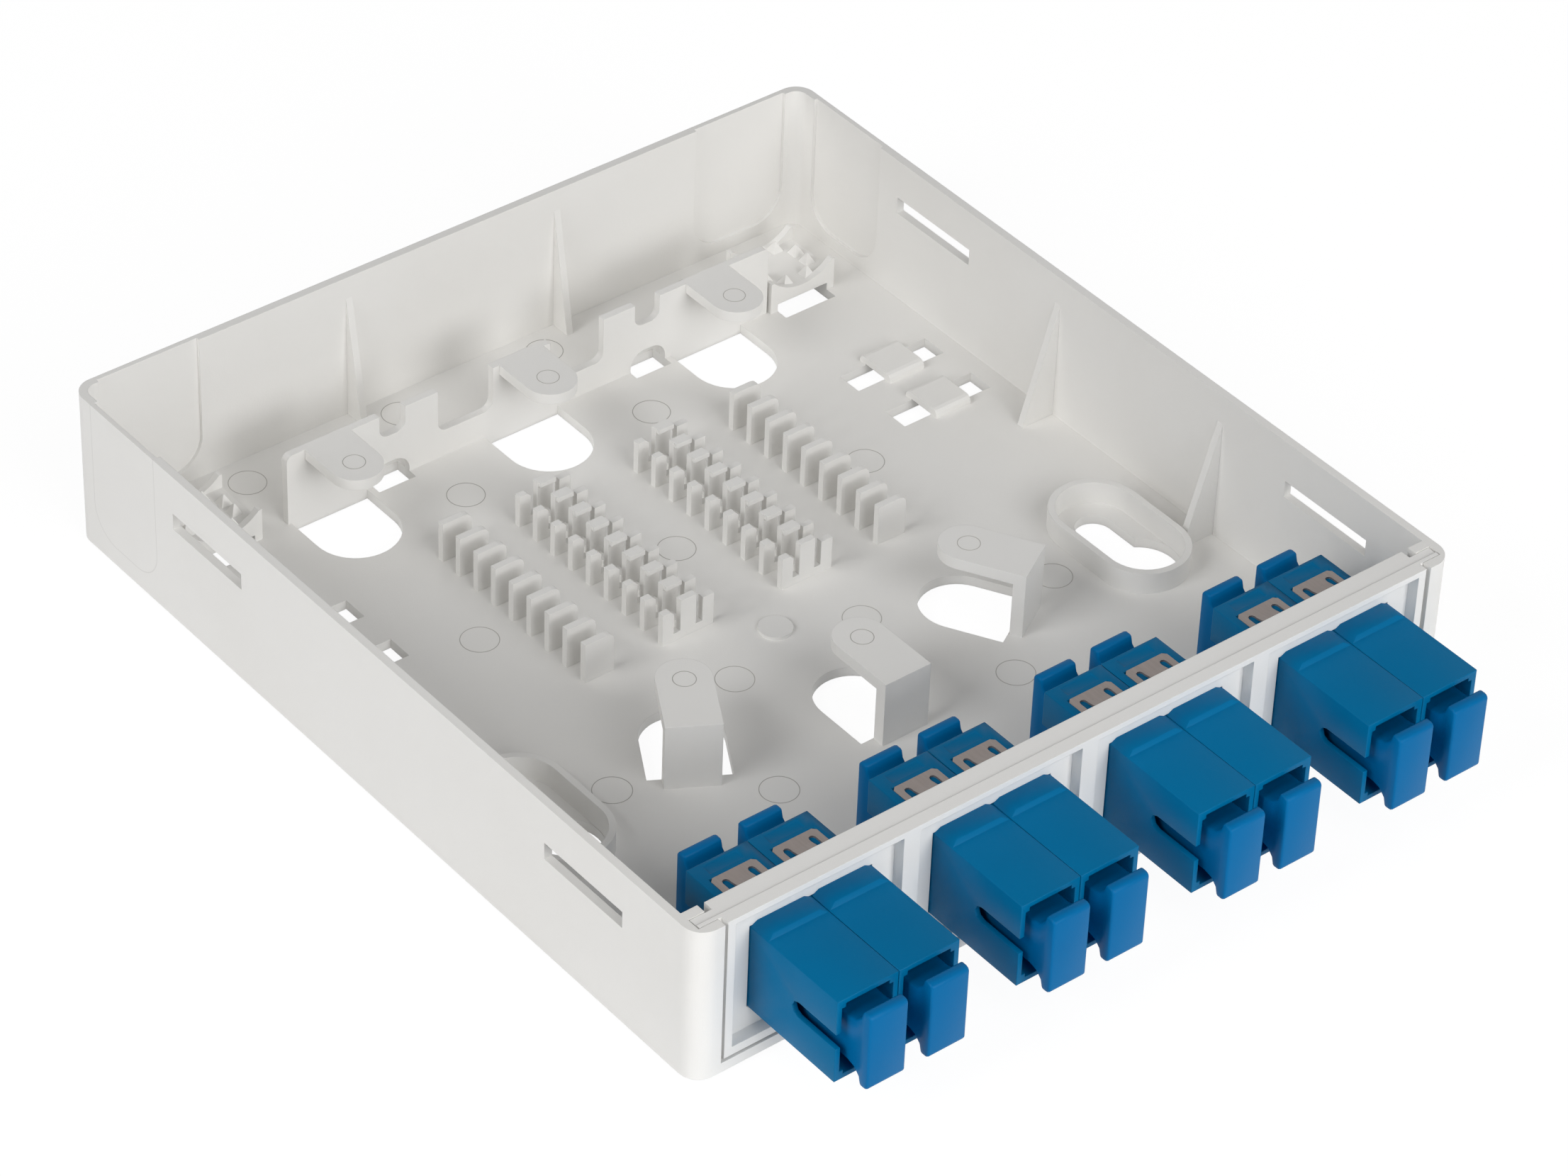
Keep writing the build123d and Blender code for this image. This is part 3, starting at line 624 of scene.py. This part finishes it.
@dataclass
class Tray:
    """The moulded tray with painted shade rings for the fine grooves round its ejector pins, in millimetres.

    A pin pair stands at X and at minus X. A hook has the foot of its post and its turn in degrees.
    """

    workshop: Workshop
    floor_z: float = 1.5
    pin_radius: float = 2.7
    pin_pairs: tuple[tuple[float, float], ...] = (
        (16.0, 42.2), (33.0, 15.8), (10.8, -10.7), (20.0, -31.7), (37.4, -19.0), (38.5, 62.0), (12.5, 62.5),
    )
    pin_middle_y: float = 15.8
    tip_radius: float = 1.6
    tab_xs: tuple[float, float, float] = (-32.5, 0.0, 32.5)
    tab_y: float = 45.0
    tab_z: float = 12.9
    hook_places: tuple[Place, Place, Place] = ((-28.7, -24.7, -30.0), (0.0, -32.9, 0.0), (28.7, -24.7, 30.0))
    hook_reach: float = 9.5
    hook_z: float = 11.8

    def rings(self) -> list[WitnessRing]:
        """Return every ring on the floor, the tabs and the hooks."""
        found = [WitnessRing(0.0, self.pin_middle_y, self.floor_z, self.pin_radius)]
        for x, y in self.pin_pairs:
            found.append(WitnessRing(x, y, self.floor_z, self.pin_radius))
            found.append(WitnessRing(-x, y, self.floor_z, self.pin_radius))
        for x in self.tab_xs:
            found.append(WitnessRing(x, self.tab_y, self.tab_z, self.tip_radius))
        for x, y, turn in self.hook_places:
            angle = math.radians(turn)
            tip_x = x - self.hook_reach * math.sin(angle)
            tip_y = y + self.hook_reach * math.cos(angle)
            found.append(WitnessRing(tip_x, tip_y, self.hook_z, self.tip_radius))
        return found

    def dress(self) -> None:
        """Give the tray its finish."""
        self.workshop.dress("base_tray", Slot.TRAY)

    def mesh(self) -> None:
        """Add the painted shade rings of the pin grooves as one fine piece."""
        mesh = bmesh.new()
        for ring in self.rings():
            ring.add_to(mesh)
        bmesh.ops.recalc_face_normals(mesh, faces=mesh.faces)
        piece = self.workshop.place(mesh, "pin_shade_lines", "tray", Slot.TRAY)
        # Painted shade: the rings take the dark line material in place of the tray's own finish.
        piece.data.materials.clear()
        piece.data.materials.append(PIN_SHADE_LINE.build())


@dataclass
class AdapterPanel:
    """The slide-in panel that carries the adapters."""

    workshop: Workshop

    def dress(self) -> None:
        """Give the panel its finish."""
        self.workshop.dress("adapter_panel", Slot.PANEL)


@dataclass
class Adapter:
    """One fibre adapter with its insert, sleeve, spring clips and two dust caps."""

    workshop: Workshop
    number: int
    housing_radius: float = 0.14 * MM
    cap_radius: float = 0.30 * MM

    def name(self, kind: str) -> str:
        """Return the node's name for one kind of part."""
        return f"{kind}_{self.number}"

    def mesh(self) -> None:
        """Build the softened housings and dust caps."""
        for side in Side:
            housing = self.name("housing_" + side.value)
            self.workshop.soften(housing, "panel", Slot.HOUSING, self.housing_radius)
            cap = self.name("cap_" + side.value)
            self.workshop.soften(cap, "dust_" + cap, Slot.CAP, self.cap_radius)

    def dress(self) -> None:
        """Give the inner parts their finishes."""
        self.workshop.dress(self.name("latch_insert"), Slot.INSERT)
        self.workshop.dress(self.name("sleeve"), Slot.SLEEVE)
        self.workshop.dress(self.name("clip"), Slot.CLIP)


@dataclass(frozen=True)
class AreaLamp:
    """A soft white square lamp that looks at the box, with its size in metres and its power in watts."""

    name: str
    place: Place
    size: float
    power: float
    target: Place = (0.0, 0.0, 0.01)

    def build(self) -> None:
        """Add the lamp to the scene."""
        data = bpy.data.lights.new(self.name, "AREA")
        data.shape = "SQUARE"
        data.size = self.size
        data.energy = self.power
        lamp = bpy.data.objects.new(self.name, data)
        lamp.location = self.place
        aim = Vector(self.target) - Vector(self.place)
        lamp.rotation_euler = aim.to_track_quat("-Z", "Y").to_euler()
        bpy.context.scene.collection.objects.link(lamp)


@dataclass(frozen=True)
class StudioFloor:
    """A pale floor, white to the camera, that keeps the box's soft shadow and is open from below."""

    size: float = 6.0
    drop: float = 0.3 * MM
    near_drops: float = 3.0
    shade: float = 0.92
    glow_share: float = 0.86
    glow_strength: float = 1.08

    def open_from_below(self, sheet: NodeSheet) -> Socket:
        """Open the floor to rays from under it, and let its light reach the box's underside.

        Args:
            sheet: The helper of the floor's nodes.

        Returns:
            A socket that is one where the floor is open and nothing where it is closed.
        """
        rays = sheet.add("LightPath")
        near = sheet.calculate("LESS_THAN", rays.outputs["Ray Length"], self.near_drops * self.drop)
        near = sheet.calculate("MULTIPLY", near, rays.outputs["Is Diffuse Ray"])
        return sheet.calculate("MAXIMUM", sheet.add("NewGeometry").outputs["Backfacing"], near)

    def finish(self) -> bpy.types.Material:
        """Build the floor's material.

        Returns:
            The finished material.
        """
        material = bpy.data.materials.new("floor pale")
        material.use_nodes = True
        material.node_tree.nodes.clear()
        sheet = NodeSheet(material.node_tree)
        matt = sheet.add("BsdfDiffuse")
        matt.inputs["Color"].default_value = (self.shade, self.shade, self.shade, 1.0)
        glow = sheet.add("Emission")
        glow.inputs["Color"].default_value = (1.0, 1.0, 1.0, 1.0)
        glow.inputs["Strength"].default_value = self.glow_strength
        top = sheet.add("MixShader")
        share = sheet.calculate("MULTIPLY", sheet.background_rays(), self.glow_share)
        sheet.join(share, top.inputs["Fac"])
        sheet.join(matt.outputs[0], top.inputs[1])
        sheet.join(glow.outputs[0], top.inputs[2])
        whole = sheet.add("MixShader")
        sheet.join(self.open_from_below(sheet), whole.inputs["Fac"])
        sheet.join(top.outputs[0], whole.inputs[1])
        sheet.join(sheet.add("BsdfTransparent").outputs[0], whole.inputs[2])
        output = sheet.add("OutputMaterial")
        sheet.join(whole.outputs[0], output.inputs["Surface"])
        return material

    def build(self) -> None:
        """Add the floor just under the box."""
        mesh = bmesh.new()
        bmesh.ops.create_grid(mesh, x_segments=4, y_segments=4, size=self.size / 2)
        bmesh.ops.translate(mesh, verts=mesh.verts, vec=(0.0, 0.0, -self.drop))
        data = bpy.data.meshes.new("floor")
        mesh.to_mesh(data)
        mesh.free()
        floor = bpy.data.objects.new("floor", data)
        bpy.context.scene.collection.objects.link(floor)
        data.materials.append(self.finish())


@dataclass(frozen=True)
class PhotoCamera:
    """The camera at the photograph's place, in metres, with its focal length in the photograph's pixels."""

    place: Place = (-0.38928, -0.47124, 0.49346)
    forward: Place = (0.50207, 0.59856, -0.62422)
    up: Place = (0.36967, 0.50399, 0.78060)
    focal_pixels: float = 8272.5
    sensor_width: float = 36.0
    clip_start: float = 0.01
    clip_end: float = 20.0

    def build(self) -> None:
        """Add the camera to the scene."""
        data = bpy.data.cameras.new("camera")
        data.sensor_fit = "HORIZONTAL"
        data.sensor_width = self.sensor_width
        data.lens = self.focal_pixels / PHOTO_WIDTH * self.sensor_width
        data.clip_start = self.clip_start
        data.clip_end = self.clip_end
        camera = bpy.data.objects.new("camera", data)
        forward = Vector(self.forward).normalized()
        right = forward.cross(Vector(self.up)).normalized()
        up = right.cross(forward)
        turn = Matrix((right, up, -forward)).transposed().to_4x4()
        camera.matrix_world = Matrix.Translation(self.place) @ turn
        bpy.context.scene.collection.objects.link(camera)
        bpy.context.scene.camera = camera


@dataclass(frozen=True)
class Studio:
    """Pale floor, even world light, soft lamps and the camera."""

    world_strength: float = 0.12
    lamps: tuple[AreaLamp, ...] = (
        AreaLamp("left", (-1.00, 0.00, 0.75), size=0.60, power=5.4),
        AreaLamp("left low", (-1.15, -0.10, 0.25), size=0.50, power=1.5),
        AreaLamp("front", (0.00, -1.00, 0.75), size=0.90, power=5.6),
        AreaLamp("front low", (0.10, -1.15, 0.25), size=0.70, power=5.2),
        AreaLamp("right", (1.00, 0.00, 0.75), size=0.60, power=0.8),
    )

    def build_world(self) -> None:
        """Light the scene evenly, with white where a ray sees past the floor."""
        world = bpy.data.worlds.new("studio")
        bpy.context.scene.world = world
        world.use_nodes = True
        background = world.node_tree.nodes["Background"]
        background.inputs["Color"].default_value = (1.0, 1.0, 1.0, 1.0)
        sheet = NodeSheet(world.node_tree)
        extra = sheet.calculate("MULTIPLY", sheet.background_rays(), 1.0 - self.world_strength)
        strength = sheet.calculate("ADD", extra, self.world_strength)
        sheet.join(strength, background.inputs["Strength"])

    def build(self) -> None:
        """Build the whole studio."""
        StudioFloor().build()
        self.build_world()
        for lamp in self.lamps:
            lamp.build()
        PhotoCamera().build()
        bpy.context.scene.view_settings.view_transform = "Standard"


def main() -> None:
    """Build the dressed patch box around the frame."""
    logging.basicConfig(level=logging.INFO)
    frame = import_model()
    workshop = Workshop(frame)
    workshop.prepare()
    Studio().build()
    tray = Tray(workshop)
    tray.dress()
    tray.mesh()
    AdapterPanel(workshop).dress()
    for number in range(1, ADAPTER_COUNT + 1):
        adapter = Adapter(workshop, number)
        adapter.mesh()
        adapter.dress()


if __name__ == "__main__":
    main()
